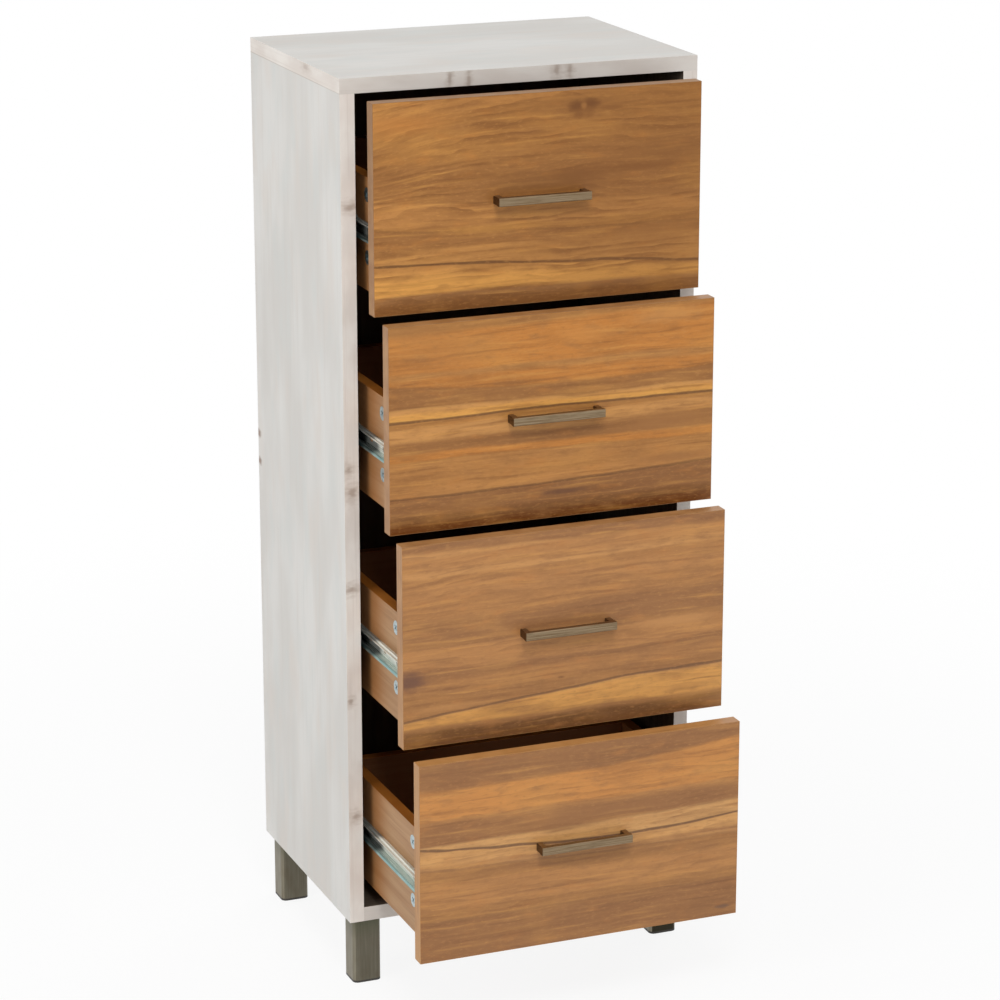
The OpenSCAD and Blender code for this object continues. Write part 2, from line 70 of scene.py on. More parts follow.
class Finish:
    """A finish painted by nodes. Its lengths are millimetres along the part's axes, from an
    origin given in metres."""

    def __init__(self, name, roughness, metallic=0.0, origin=(0, 0, 0), gloss=0.5):
        self.material = bpy.data.materials.new(name)
        self.material.use_nodes = True
        self.tree = self.material.node_tree
        self.surface = self.tree.nodes["Principled BSDF"]
        self.surface.inputs["Roughness"].default_value = roughness
        self.surface.inputs["Metallic"].default_value = metallic
        self.surface.inputs["Specular IOR Level"].default_value = gloss
        where = self.tree.nodes.new("ShaderNodeTexCoord")
        self.facing = where.outputs["Normal"]
        local = self.vector("SUBTRACT", where.outputs["Object"], origin)
        self.place = self.vector("MULTIPLY", local, (MM, MM, MM))

    def node(self, kind, values, **settings):
        made = self.tree.nodes.new("ShaderNode" + kind)
        for key, value in settings.items():
            setattr(made, key, value)
        for key, value in values.items():
            if isinstance(value, bpy.types.NodeSocket):
                self.tree.links.new(value, made.inputs[key])
            else:
                made.inputs[key].default_value = value
        return made

    def math(self, operation, a, b=0.0, c=0.0):
        return self.node("Math", {0: a, 1: b, 2: c}, operation=operation).outputs[0]

    def vector(self, operation, a, b):
        return self.node("VectorMath", {0: a, 1: b}, operation=operation).outputs[0]

    def length(self, a):
        return self.node("VectorMath", {0: a}, operation="LENGTH").outputs["Value"]

    def dot(self, a, b):
        return self.node("VectorMath", {0: a, 1: b}, operation="DOT_PRODUCT").outputs["Value"]

    def axes(self, a):
        return self.node("SeparateXYZ", {0: a}).outputs

    def noise(self, size, seed=0.0, detail=2.0, place=None):
        """Cloudy values round a half, in patches of that size along X, Y and Z."""
        spread = self.vector("DIVIDE", place or self.place, size)
        values = {"Vector": spread, "W": seed, "Scale": 1.0, "Detail": detail}
        return self.node("TexNoise", values, noise_dimensions="4D").outputs[0]

    def ramp(self, value, low, high, at_low=0.0, at_high=1.0):
        """at_low where the value is low, at_high where it is high, and a smooth change between."""
        values = {"Value": value, "From Min": low, "From Max": high}
        values.update({"To Min": at_low, "To Max": at_high})
        return self.node("MapRange", values, interpolation_type="SMOOTHSTEP").outputs[0]

    def blend(self, share, under, over):
        """The one colour where the share is 0, the other where it is 1."""
        return self.node("Mix", {0: share, 6: under, 7: over}, data_type="RGBA").outputs[2]

    def feed(self, value, name="Base Color"):
        self.tree.links.new(value, self.surface.inputs[name])

    def relief(self, height, depth, strength):
        """Raises the surface by up to depth millimetres where height is 1."""
        values = {"Height": height, "Distance": depth / MM, "Strength": strength}
        self.feed(self.node("Bump", values).outputs[0], "Normal")

    def facing_along(self, axis, least=0.5):
        """1 on the faces that look along that axis, and 0 on the others."""
        along = self.axes(self.facing)["XYZ".index(axis)]
        return self.math("GREATER_THAN", self.math("ABSOLUTE", along), least)


def grain(axis, along, across):
    """The size of streaks that run along one axis."""
    return [along if name == axis else across for name in "XYZ"]


def chipboard(finish):
    """The cut core of a board: pressed chips, pale and tan."""
    chips = finish.noise((2.2, 2.2, 2.2), seed=3.0, detail=3.0)
    glue = finish.noise((0.8, 0.8, 0.8), seed=8.0)
    core = finish.blend(finish.ramp(chips, 0.35, 0.65), tone(158, 126, 88), tone(205, 178, 138))
    return finish.blend(finish.ramp(glue, 0.58, 0.7, 0, 0.6), core, tone(104, 78, 52))


def limed(finish, axis):
    """Whitewashed pine: clouds of warm and of bluish grey along one axis, and faint streaks."""
    drift = finish.noise(grain(axis, 190.0, 60.0), detail=3.0)
    warm = finish.noise(grain(axis, 100.0, 30.0), seed=2.0, detail=4.0)
    cool = finish.noise(grain(axis, 84.0, 24.0), seed=9.0, detail=4.0)
    streak = finish.noise(grain(axis, 260.0, 9.0), seed=14.0, detail=2.0)
    fine = finish.noise(grain(axis, 90.0, 2.4), seed=5.0, detail=3.0)
    colour = finish.blend(finish.ramp(drift, 0.36, 0.64), tone(206, 203, 198), tone(216, 214, 210))
    colour = finish.blend(finish.ramp(warm, 0.48, 0.68, 0, 0.5), colour, tone(211, 203, 195))
    colour = finish.blend(finish.ramp(cool, 0.48, 0.68, 0, 0.4), colour, tone(203, 206, 203))
    colour = finish.blend(finish.ramp(streak, 0.52, 0.72, 0, 0.2), colour, tone(198, 191, 184))
    return finish.blend(finish.ramp(fine, 0.56, 0.76, 0, 0.14), colour, tone(188, 180, 172)), fine


def marked(finish, colour, marks, seed=0.0, ragged=0.9):
    """Knots and smudges: each is its middle, its half lengths, its tone and its strength. Their
    outlines are more broken where ragged is more."""
    rough = finish.noise((9.0, 9.0, 4.0), seed=seed + 11.0)
    rough = finish.math("MULTIPLY_ADD", rough, ragged, -ragged / 2)
    for middle, reach, shade, strength in marks:
        off = finish.vector("DIVIDE", finish.vector("SUBTRACT", finish.place, middle), reach)
        near = finish.ramp(finish.math("ADD", finish.length(off), rough), 1.0, 0.2, 0, strength)
        colour = finish.blend(near, colour, shade)
    return colour


KNOT_RING = 2.3  # how far the pale ring round a knot reaches, in knots


def edge_print(finish, axis, knots, clear=1.0):
    """The print of the edge strips, warmer than the faces, with knots at the places given. They
    are fainter where clear is less than 1."""
    lines = finish.noise(grain(axis, 160.0, 2.4), seed=4.0, detail=3.0)
    clouds = finish.noise(grain(axis, 70.0, 30.0), seed=9.0, detail=3.0)
    colour = finish.blend(finish.ramp(clouds, 0.36, 0.64), tone(216, 207, 199), tone(229, 223, 216))
    colour = finish.blend(finish.ramp(lines, 0.54, 0.72, 0, 0.28), colour, tone(196, 184, 174))
    marks = []
    for middle, reach in knots:
        ring = [KNOT_RING * r for r in reach]
        marks.append((middle, ring, tone(184, 170, 158), 0.5 * clear))
        marks.append((middle, reach, tone(154, 134, 120), 0.6 * clear))
    return marked(finish, colour, marks, ragged=1.4)


INSIDE = (0, 0, 540)  # a point in the middle of the carcass
SEAM = (984.2, 985.2)  # heights over which the dark line at the foot of the top's ends fades
# the grey laid over the top board and the level strips as painted shade
PAINTED_SHADE_GREY = tone(150, 144, 138)


def whitewashed(name, axis, face, ends=None, marks=(), grey=0.0):
    """A board's finish: the print on its outer face with its knots, under a grey veil of painted
    shade, a dark brown painted shade on its inner face, and on its cut edges its core, or the
    strip's print on the ends where knots are given for them."""
    finish = Finish(name, roughness=0.5, gloss=0.35)
    colour, fine = limed(finish, axis)
    colour = finish.blend(grey, marked(finish, colour, marks), PAINTED_SHADE_GREY)
    outward = finish.dot(finish.vector("SUBTRACT", finish.place, INSIDE), finish.facing)
    # The inner faces get a dark brown as painted shade for the unlit inside of the carcass.
    inner_shade = finish.blend(finish.ramp(fine, 0.4, 0.7), tone(92, 82, 72), tone(74, 64, 55))
    colour = finish.blend(finish.math("GREATER_THAN", outward, 0.0), inner_shade, colour)
    core = chipboard(finish)
    if ends:
        seam = finish.ramp(finish.axes(finish.place)[2], *SEAM, 0.5, 0.0)
        strip = finish.blend(seam, edge_print(finish, "Y", ends, 0.6), tone(140, 126, 114))
        core = finish.blend(finish.facing_along("X"), core, strip)
    finish.feed(finish.blend(finish.facing_along(face), core, colour))
    finish.relief(fine, 0.03, 0.4)
    return finish


def dress(nodes, finish):
    """Gives a finish to solids that keep their shape."""
    for name in nodes:
        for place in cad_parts[name].material_slots:
            place.material = finish.material


HALF_WIDTH = 200
SIDE_KNOT = tone(140, 116, 102)
# The top board is a little greyer than the sides, as painted shade.
dress(["top_panel"], whitewashed("whitewashed_top", "X", "Z", ends=[
    ((-HALF_WIDTH, -40, 996), (9, 12, 5)), ((HALF_WIDTH, 40, 992), (9, 12, 4)),
], grey=0.08))
dress(["bottom_panel"], whitewashed("whitewashed_along", "X", "Z"))
dress(["left_side_panel", "right_side_panel"], whitewashed("whitewashed_upright", "Z", "X", marks=[
    ((-HALF_WIDTH, 141, 555), (9, 9, 7), SIDE_KNOT, 0.9),
    ((-HALF_WIDTH, 141, 523), (9, 9, 7), SIDE_KNOT, 0.9),
]))


# Carcass edge strips. Melamine strips 0.4 mm thick are ironed on the front edges of the four
# boards. Their print is the whitewashed pine again, a little warmer and with small knots.
STRIP_T = 0.0004
STRIP_EASE = 0.00012
CARCASS_FRONT = -145


def edge(board, axis, side, longer=0.0):
    """The corners of a strip on one edge of a board, made longer at both ends where asked."""
    low, high = [list(corner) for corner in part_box(board)]
    lengths = [high[i] - low[i] for i in range(3)]
    along = lengths.index(max(lengths))
    low[along] -= longer
    high[along] += longer
    at = "XYZ".index(axis)
    if side > 0:
        low[at], high[at] = high[at], high[at] + STRIP_T
    else:
        low[at], high[at] = low[at] - STRIP_T, low[at]
    return low, high


def strips(name, body, finish, places):
    """Edge strips in one piece, with all their edges eased."""
    build = bmesh.new()
    for low, high in places:
        for corner in bmesh.ops.create_cube(build, size=1.0)["verts"]:
            for i in range(3):
                corner.co[i] = low[i] if corner.co[i] < 0 else high[i]
    bmesh.ops.bevel(
        build, geom=build.edges[:], offset=STRIP_EASE, segments=2, affect="EDGES", profile=0.5)
    mesh = bpy.data.meshes.new(name)
    build.to_mesh(mesh)
    build.free()
    mesh.materials.append(finish.material)
    piece = bpy.data.objects.new(name, mesh)
    bpy.context.scene.collection.objects.link(piece)
    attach(piece, body)


def pine_strip(name, axis, knots, grey):
    """The finish of the carcass strips that run along one axis, under a grey veil of painted shade.
    """
    finish = Finish(name, roughness=0.42, gloss=0.35)
    finish.feed(finish.blend(grey, edge_print(finish, axis, knots), PAINTED_SHADE_GREY))
    finish.relief(finish.noise(grain(axis, 60.0, 1.2), seed=6.0), 0.02, 0.4)
    return finish


# The level strips, along the top and the bottom, are greyer, as painted shade.
level_strip = pine_strip("level_strip", "X", [
    ((-80, CARCASS_FRONT, 992), (3, 9, 11)), ((-59, CARCASS_FRONT, 990), (3, 9, 14)),
    ((39, CARCASS_FRONT, 994), (4, 9, 9)), ((54, CARCASS_FRONT, 993), (4, 9, 9)),
], grey=0.28)
upright_strip = pine_strip("upright_strip", "Z", [
    ((-190, CARCASS_FRONT, 867), (9, 9, 5)), ((-195, CARCASS_FRONT, 588), (5, 9, 6)),
    ((-192, CARCASS_FRONT, 562), (7, 9, 8)), ((-193, CARCASS_FRONT, 456), (7, 9, 5)),
    ((-196, CARCASS_FRONT, 330), (4, 9, 5)), ((-192, CARCASS_FRONT, 198), (6, 9, 6)),
    ((192, CARCASS_FRONT, 690), (8, 9, 6)),
], grey=0.0)
strips("edging_top", "cabinet", level_strip, [edge("top_panel", "Y", -1)])
strips("edging_bottom", "cabinet", level_strip,
       [edge("bottom_panel", "Y", -1)])
strips("edging_sides", "cabinet", upright_strip,
       [edge("left_side_panel", "Y", -1), edge("right_side_panel", "Y", -1)])


# Back board. A 3 mm sheet of hardboard that slides into the grooves of the sides and the top and
# is screwed to the bottom board. It is painted white outside and left brown inside, a dark brown
# that is partly the raw hardboard and partly painted shade for the unlit inside of the carcass.
back_paint = Finish("back_paint", roughness=0.55, gloss=0.3)
mottle = back_paint.noise((14.0, 30.0, 90.0), seed=1.0, detail=4.0)
dimples = back_paint.noise((1.6, 1.6, 1.6), seed=6.0)
white = back_paint.ramp(mottle, 0.3, 0.7)
white = back_paint.blend(white, tone(210, 209, 205), tone(215, 214, 211))
# The inside: the raw brown board, darkened as painted shade.
brown = back_paint.ramp(mottle, 0.36, 0.64)
brown = back_paint.blend(brown, tone(66, 48, 36), tone(82, 60, 44))
outside = back_paint.math("GREATER_THAN", back_paint.axes(back_paint.facing)[1], 0.5)
back_paint.feed(back_paint.blend(outside, brown, white))
back_paint.relief(dimples, 0.05, 0.5)
dress(["back_panel"], back_paint)


# Carcass fittings. Die-cast cam locks and their steel bolts pull the boards together, beech dowels
# keep them in line, and zinc-plated screws hold the back board, the runners and the legs.
DULLED = 0.78  # a plating's darker patches, as a share of its shade


def plated(name, shade, roughness, patch):
    """Plated metal: its shade and its polish change a little from patch to patch."""
    finish = Finish(name, roughness=roughness, metallic=1.0)
    cloud = finish.noise((patch, patch, patch), seed=2.0, detail=3.0)
    dull = [DULLED * c for c in shade[:3]] + [1.0]
    finish.feed(finish.blend(finish.ramp(cloud, 0.35, 0.65), dull, shade))
    finish.feed(finish.ramp(cloud, 0.35, 0.65, roughness - 0.06, roughness + 0.08), "Roughness")
    return finish


cam_zinc = plated("cam_zinc", tone(202, 218, 222), 0.4, 2.5)
screw_steel = plated("screw_steel", tone(200, 199, 190), 0.32, 3.0)
beech = Finish("beech_dowel", roughness=0.6)
flutes = beech.noise((3.0, 3.0, 12.0), seed=4.0, detail=3.0)
beech.feed(beech.blend(beech.ramp(flutes, 0.36, 0.64), tone(196, 160, 112), tone(218, 186, 140)))
dress(["cam_fittings"], cam_zinc)
dress(["dowels"], beech)
dress(["back_panel_screws", "rail_screws", "leg_screws"], screw_steel)


# Legs. Square steel tube, 32 mm wide with round corners, brushed along its length and plated in a
# dark nickel tone, darker in front and behind with painted shade, and most of all on the right,
# and greenish near the top with painted shadow under the board. Each is welded to a plate under
# the bottom board and stands on a plastic glide.
LEG_SHADE_ACROSS = (-100.0, 150.0)  # left to right, over which the painted shade on front and back faces grows
UNDER_BOARD = (46.0, 74.0)  # heights over which the greenish painted shadow under the board sets in
leg_nickel = Finish("leg_nickel", roughness=0.42, metallic=0.8)
brushed = leg_nickel.noise((0.9, 0.9, 60.0), seed=2.0, detail=3.0)
worn = leg_nickel.noise((12.0, 12.0, 24.0), seed=7.0, detail=2.0)
rightward, _, rise = leg_nickel.axes(leg_nickel.place)
low_light, high_light = tone(121, 115, 99), tone(142, 136, 120)
sheen = leg_nickel.blend(leg_nickel.ramp(brushed, 0.34, 0.66), low_light, high_light)
sheen = leg_nickel.blend(leg_nickel.ramp(worn, 0.42, 0.7, 0, 0.4), sheen, tone(112, 99, 82))
# Painted shade on the front and back faces, strongest on the right.
leg_shade = leg_nickel.ramp(rightward, *LEG_SHADE_ACROSS, 0.42, 1.0)
leg_shade = leg_nickel.math("MULTIPLY", leg_nickel.facing_along("Y", 0.8), leg_shade)
sheen = leg_nickel.blend(leg_shade, sheen, tone(50, 46, 33))
# Painted shadow at the top of each leg, under the bottom board.
board_shadow = leg_nickel.ramp(rise, *UNDER_BOARD, 0, 0.5)
leg_nickel.feed(leg_nickel.blend(board_shadow, sheen, tone(80, 86, 66)))
leg_nickel.feed(leg_nickel.ramp(brushed, 0.3, 0.7, 0.38, 0.5), "Roughness")
leg_nickel.relief(brushed, 0.02, 0.4)
dress([f"leg_{end}_{side}" for end in ("front", "back") for side in ("left", "right")], leg_nickel)
dress(["leg_plates"], leg_nickel)

glide_plastic = Finish("glide_plastic", roughness=0.5)
grained = glide_plastic.noise((1.0, 1.0, 1.0), seed=3.0, detail=3.0)
moulded = glide_plastic.blend(
    glide_plastic.ramp(grained, 0.4, 0.6), tone(46, 43, 38), tone(60, 56, 49))
glide_plastic.feed(moulded)
glide_plastic.relief(grained, 0.04, 0.5)
dress(["foot_glides"], glide_plastic)


# Runners. Each is a pair of zinc-plated channels rolled from 1.1 mm steel, one screwed inside the
# carcass and one on the drawer, with a cage of steel balls that rolls between them.
WEB_DEPTH = (2.4, 2.0)  # in from the outer side of the channel: the web lies deeper than this
WEB_SPLIT = (-6.8, -5.6)  # heights from the runner's middle, over which the web turns pale with painted reflection
LIP_SPLIT = (-2.6, -1.4)  # the same for the lips
CARCASS_SHADE_Y = (-184.0, -168.0)  # places along Y, over which the painted shade near the carcass sets in


def runner_zinc(k):
    """Zinc, pale above and high on the web as painted reflection of the white room, bluish green
    below as painted shade, and dark to the rear as painted shade from the carcass.
    """
    low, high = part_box(f"drawer_rails_{k}")
    finish = Finish(f"rail_zinc_{k}", roughness=0.3, origin=(0, 0, (low[2] + high[2]) / 2))
    rolled = finish.noise((1.2, 60.0, 1.2), seed=2.0, detail=3.0)
    bloom = finish.noise((8.0, 14.0, 8.0), seed=5.0, detail=3.0)
    # The pale tone is the zinc with painted reflection of the room, the green the same zinc in
    # painted shade.
    pale = finish.blend(finish.ramp(rolled, 0.35, 0.65), tone(212, 216, 206), tone(234, 234, 224))
    green = finish.blend(finish.ramp(bloom, 0.4, 0.7), tone(134, 168, 165), tone(152, 180, 176))
    green = finish.blend(finish.ramp(rolled, 0.5, 0.7, 0, 0.4), green, tone(108, 138, 136))
    x, y, z = finish.axes(finish.place)
    outer = -MM * low[0]
    web = finish.math("ABSOLUTE", x)
    web = finish.ramp(web, outer - WEB_DEPTH[0], outer - WEB_DEPTH[1], 1.0, 0.0)
    web = finish.math("MULTIPLY", web, finish.ramp(z, *WEB_SPLIT))
    upper = finish.math("MAXIMUM", web, finish.ramp(z, *LIP_SPLIT))
    # Painted shade where the runner runs into the carcass, darker towards the rear.
    dark = finish.ramp(y, *CARCASS_SHADE_Y, 0, 0.8)
    finish.feed(finish.blend(dark, finish.blend(upper, green, pale), tone(44, 48, 48)))
    finish.feed(finish.ramp(upper, 0.0, 1.0, 0.8, 0.3), "Metallic")
    finish.feed(finish.ramp(rolled, 0.3, 0.7, 0.24, 0.4), "Roughness")
    return finish


cage_steel = plated("cage_steel", tone(58, 62, 66), 0.4, 4.0)
DRAWERS = (1, 2, 3, 4)
for k in DRAWERS:
    dress([f"cabinet_rails_{k}", f"drawer_rails_{k}"], runner_zinc(k))
    dress([f"ball_cages_{k}"], cage_steel)


# Drawer fronts. Chipboard faced with paper printed as teak, with the grain running across. Bands
# of golden and of brown wood follow one another up each front, and thin dark lines part some.
HALF_FRONT = 182.0
THROUGH = 900.0  # far more than a front is thick, so that the print is the same all through it
WAVE = 8.0  # how far the bands wander up and down
SPREAD = 0.3  # how far the bands are parted from their mean, before the streaks blur them
RING, RING_DRIFT = 9.0, 44.0  # how far the year rings are apart, and how far they stray
SWEPT = (100.0, 150.0)  # heights on a front over which the sweep of its streaks sets in
SHADED = (-120.0, 130.0)  # left to right, over which the shade sets in
GOLDEN, HONEY, LIGHT = tone(206, 147, 72), tone(189, 134, 74), tone(177, 122, 65)
ORANGE, TAN, MID = tone(184, 120, 55), tone(171, 117, 61), tone(164, 112, 57)
BROWN, UMBER, DARK = tone(153, 103, 54), tone(134, 88, 43), tone(121, 75, 33)
RUST, INK, MEAN = tone(120, 70, 23), tone(82, 50, 24), tone(165, 113, 64)
KNOT, SMUDGE, HAZE = tone(76, 34, 0), tone(100, 62, 42), tone(176, 156, 150)


def teak(k, first, bands, marks, seed, sweep=0.0, rings=0.35, haze=0.0, shade=0.0):
    """The print on one front. A band is its height at the left end, in the middle and at the
    right end, its soft edge, its tone, and the strength of a thin dark line there. A mark is its
    place across and up the front, its half lengths, its tone and its strength. The streaks of
    the upper half sweep down to the left end, rings is the strength of the year rings, haze is
    a veil all over and shade one towards the right."""
    board = f"drawer_front_{k}"
    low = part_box(board)[0]
    finish = Finish(f"teak_front_{k}", roughness=0.4, origin=(0, low[1], low[2]), gloss=0.3)
    x, y, height = finish.axes(finish.place)
    across = finish.math("DIVIDE", x, HALF_FRONT)
    square = finish.math("MULTIPLY", across, across)
    wave = finish.noise((110.0, THROUGH, 26.0), seed=seed)
    height = finish.math("ADD", height, finish.math("MULTIPLY_ADD", wave, WAVE, -WAVE / 2))
    colour = first
    lines = []
    for left, middle, right, soft, print_tone, line in bands:
        rise = finish.math("MULTIPLY_ADD", across, (right - left) / 2, middle)
        rise = finish.math("MULTIPLY_ADD", square, (left + right) / 2 - middle, rise)
        above = finish.math("SUBTRACT", height, rise)
        colour = finish.blend(finish.ramp(above, -soft / 2, soft / 2), colour, print_tone)
        if line:
            lines.append((finish.math("ABSOLUTE", above), line))
    parted = {0: colour, 1: [1 + SPREAD] * 3, 2: [-SPREAD * c for c in MEAN[:3]]}
    colour = finish.node("VectorMath", parted, operation="MULTIPLY_ADD").outputs[0]
    drift = finish.noise((120.0, THROUGH, 36.0), seed=seed + 6.0)
    colour = finish.blend(finish.ramp(drift, 0.5, 0.72, 0, 0.35), colour, DARK)
    colour = finish.blend(finish.ramp(drift, 0.48, 0.28, 0, 0.35), colour, GOLDEN)
    clouds = finish.noise((34.0, THROUGH, 11.0), seed=seed + 1.0, detail=4.0)
    colour = finish.blend(finish.ramp(clouds, 0.5, 0.7, 0, 0.55), colour, BROWN)
    colour = finish.blend(finish.ramp(clouds, 0.48, 0.28, 0, 0.5), colour, ORANGE)
    bow = finish.math("MULTIPLY_ADD", across, -1.5, -0.5)
    bow = finish.math("POWER", finish.math("MAXIMUM", bow, 0.0), 1.5)
    bow = finish.math("MULTIPLY", bow, finish.ramp(height, *SWEPT, 0, sweep))
    flow = finish.node("CombineXYZ", {0: x, 1: y, 2: finish.math("ADD", height, bow)}).outputs[0]
    growth = finish.noise((100.0, THROUGH, 4.8), seed=seed + 2.0, detail=2.6, place=flow)
    colour = finish.blend(finish.ramp(growth, 0.51, 0.74, 0, 0.54), colour, DARK)
    colour = finish.blend(finish.ramp(growth, 0.49, 0.26, 0, 0.5), colour, GOLDEN)
    warp = finish.noise((150.0, THROUGH, 34.0), seed=seed + 7.0, detail=3.0)
    warped = finish.math("MULTIPLY_ADD", warp, RING_DRIFT, finish.math("ADD", height, bow))
    year = finish.math("FRACT", finish.math("DIVIDE", warped, RING))
    late = finish.math("MULTIPLY", finish.ramp(year, 0.1, 0.93), finish.ramp(year, 1.0, 0.94))
    firm = finish.noise((80.0, THROUGH, 14.0), seed=seed + 8.0)
    firm = finish.ramp(firm, 0.4, 0.66, 0.05, rings)
    colour = finish.blend(finish.math("MULTIPLY", late, firm), colour, DARK)
    for distance, strength in lines:
        ragged = finish.ramp(growth, 0.3, 0.7, 2.6, 1.4)
        thin = finish.ramp(finish.math("DIVIDE", distance, ragged), 1.0, 0.3, 0, strength)
        colour = finish.blend(thin, colour, INK)
    pores = finish.noise((20.0, THROUGH, 1.2), seed=seed + 3.0, detail=2.0, place=flow)
    colour = finish.blend(finish.ramp(pores, 0.54, 0.7, 0, 0.14), colour, DARK)
    fibres = finish.noise((8.0, THROUGH, 2.4), seed=seed + 5.0, detail=3.0, place=flow)
    colour = finish.blend(finish.ramp(fibres, 0.52, 0.72, 0, 0.28), colour, UMBER)
    colour = finish.blend(finish.ramp(fibres, 0.48, 0.28, 0, 0.3), colour, HONEY)
    flecks = finish.noise((5.0, THROUGH, 1.3), seed=seed + 4.0, detail=1.0, place=flow)
    colour = finish.blend(finish.ramp(flecks, 0.6, 0.76, 0, 0.3), colour, GOLDEN)
    spots = [((at, 0, up), (wide, THROUGH, high), stain, strength)
             for at, up, wide, high, stain, strength in marks]
    colour = marked(finish, colour, spots, seed, ragged=0.6)
    colour = finish.blend(finish.ramp(x, *SHADED, 0, shade), colour, DARK)
    colour = finish.blend(haze, colour, HAZE)
    finish.feed(finish.blend(finish.facing_along("Y"), chipboard(finish), colour))
    finish.feed(finish.ramp(growth, 0.3, 0.7, 0.36, 0.46), "Roughness")
    finish.relief(finish.math("ADD", pores, flecks), -0.03, 0.4)
    return finish


fronts = {
    1: teak(1, tone(138, 90, 46), [
        (12, 12, 12, 12, tone(158, 110, 64), 0), (19, 18, 17, 5, tone(213, 152, 76), 0),
        (32, 32, 24, 10, tone(198, 140, 72), 0), (43, 42, 28, 8, TAN, 0),
        (52, 44, 30, 2, tone(178, 124, 66), 0.75), (66, 66, 64, 8, BROWN, 0),
        (88, 78, 74, 4, MID, 0.2), (90, 86, 86, 5, LIGHT, 0), (118, 108, 104, 12, BROWN, 0.15),
        (152, 160, 172, 30, MID, 0), (186, 214, 230, 16, TAN, 0),
    ], [
        (50, 201, 40, 14, UMBER, 0.7), (57, 205, 14, 8, KNOT, 1.0), (41, 203, 13, 8, KNOT, 1.0),
        (43, 195, 9, 9, DARK, 0.8), (56, 195, 9, 9, DARK, 0.6), (49, 203, 5, 5, TAN, 0.9),
        (80, 199, 24, 5, DARK, 0.6), (40, 131, 50, 11, DARK, 0.8), (110, 135, 90, 6, DARK, 0.75),
        (-60, 137, 70, 5, DARK, 0.45), (10, 124, 100, 18, UMBER, 0.6),
        (40, 206, 90, 14, UMBER, 0.45), (150, 150, 80, 20, UMBER, 0.5),
        (-150, 196, 70, 16, ORANGE, 0.5), (-60, 82, 70, 6, GOLDEN, 0.4),
        (-120, 30, 150, 12, GOLDEN, 0.45), (60, 24, 150, 8, tone(204, 146, 74), 0.45),
        (140, 66, 70, 12, MID, 0.5),
    ], sweep=20.0, rings=0.7, shade=0.36, seed=1.0),
    2: teak(2, RUST, [
        (9, 9, 10, 8, UMBER, 0), (17, 17, 18, 8, tone(146, 98, 54), 0),
        (37, 38.5, 44, 2, LIGHT, 0.55), (50, 50, 58, 5, TAN, 0), (77, 76, 72, 3, ORANGE, 0.15),
        (85, 84, 83, 4, BROWN, 0), (98, 98, 104, 6, HONEY, 0), (113, 113, 114, 5, MID, 0),
        (119, 120.5, 119.5, 2, GOLDEN, 0.75), (127, 128, 127, 4, HONEY, 0),
        (133, 132, 132, 2, BROWN, 0.2), (156, 146, 149, 4, ORANGE, 0.15),
        (163, 162, 161, 6, TAN, 0), (169, 169, 169, 5, ORANGE, 0), (209, 212, 216, 8, MID, 0),
    ], [
        (12, 27, 40, 4, tone(100, 64, 42), 0.75), (-20, 92, 190, 3.4, DARK, 0.3),
        (36, 194, 44, 13, tone(204, 138, 66), 0.45), (-30, 167, 22, 4, DARK, 0.35),
        (136, 193, 12, 6, DARK, 0.25), (140, 51, 66, 8, BROWN, 0.8),
        (130, 206, 60, 12, HONEY, 0.5), (-160, 212, 50, 14, BROWN, 0.4),
        (-120, 190, 90, 30, BROWN, 0.3), (130, 92, 90, 16, BROWN, 0.8),
    ], rings=0.2, haze=0.02, seed=12.0),
    3: teak(3, tone(126, 78, 22), [
        (7, 7, 7, 6, tone(124, 78, 26), 0), (16, 16, 17, 6, MID, 0), (21, 21, 21, 4, GOLDEN, 0),
        (27, 42, 49, 5, HONEY, 0), (29, 44, 52.5, 2, MID, 0.65), (60, 58, 60, 8, TAN, 0),
        (68, 73, 75, 8, BROWN, 0), (84, 82, 86, 4, LIGHT, 0), (107, 108, 108, 6, MID, 0.12),
        (114, 114, 113, 6, BROWN, 0), (138, 138, 143, 6, TAN, 0), (158, 160, 162, 5, LIGHT, 0),
        (177, 176, 178, 4, TAN, 0), (184, 184, 190, 4, HONEY, 0), (192, 190, 196, 8, LIGHT, 0),
        (204, 208, 214, 5, HONEY, 0), (212, 209, 209, 5, BROWN, 0),
    ], [
        (-175, 73, 26, 16, SMUDGE, 0.85), (-5, 57, 6, 2, DARK, 0.7), (130, 158, 60, 4, DARK, 0.3),
        (130, 104, 74, 8, HONEY, 0.7), (140, 29, 80, 5, GOLDEN, 0.5),
        (-130, 40, 60, 6, HONEY, 0.5),
    ], sweep=6.0, haze=0.08, seed=23.0),
    4: teak(4, BROWN, [
        (44, 43, 42, 6, MID, 0.2), (57, 54, 53, 8, LIGHT, 0), (88, 82, 79, 5, MID, 0),
        (103, 96, 94, 4, tone(176, 124, 70), 0.25), (109, 103, 102, 5, tone(200, 146, 84), 0),
        (127, 113, 118, 2, tone(198, 146, 86), 0.8), (130, 130, 133, 4, BROWN, 0.15),
        (153, 152, 150, 6, TAN, 0), (157, 157, 157, 4, tone(194, 130, 62), 0),
        (191, 191, 206, 5, BROWN, 0.1),
    ], [
        (166, 10, 14, 3, tone(82, 64, 58), 0.7), (0, 95, 200, 3, DARK, 0.2),
        (-60, 20, 90, 6, DARK, 0.3), (-130, 210, 110, 10, UMBER, 0.5), (150, 39, 60, 2, DARK, 0.5),
        # The INK mark at the middle, behind the handle, is painted shadow of the handle.
        (130, 14, 70, 12, UMBER, 0.45), (40, 37, 90, 6, UMBER, 0.4), (-4, 110, 70, 5, INK, 0.8),
        (10, 140, 120, 16, BROWN, 0.5),
    ], haze=0.08, seed=34.0),
}
for k, finish in fronts.items():
    dress([f"drawer_front_{k}"], finish)


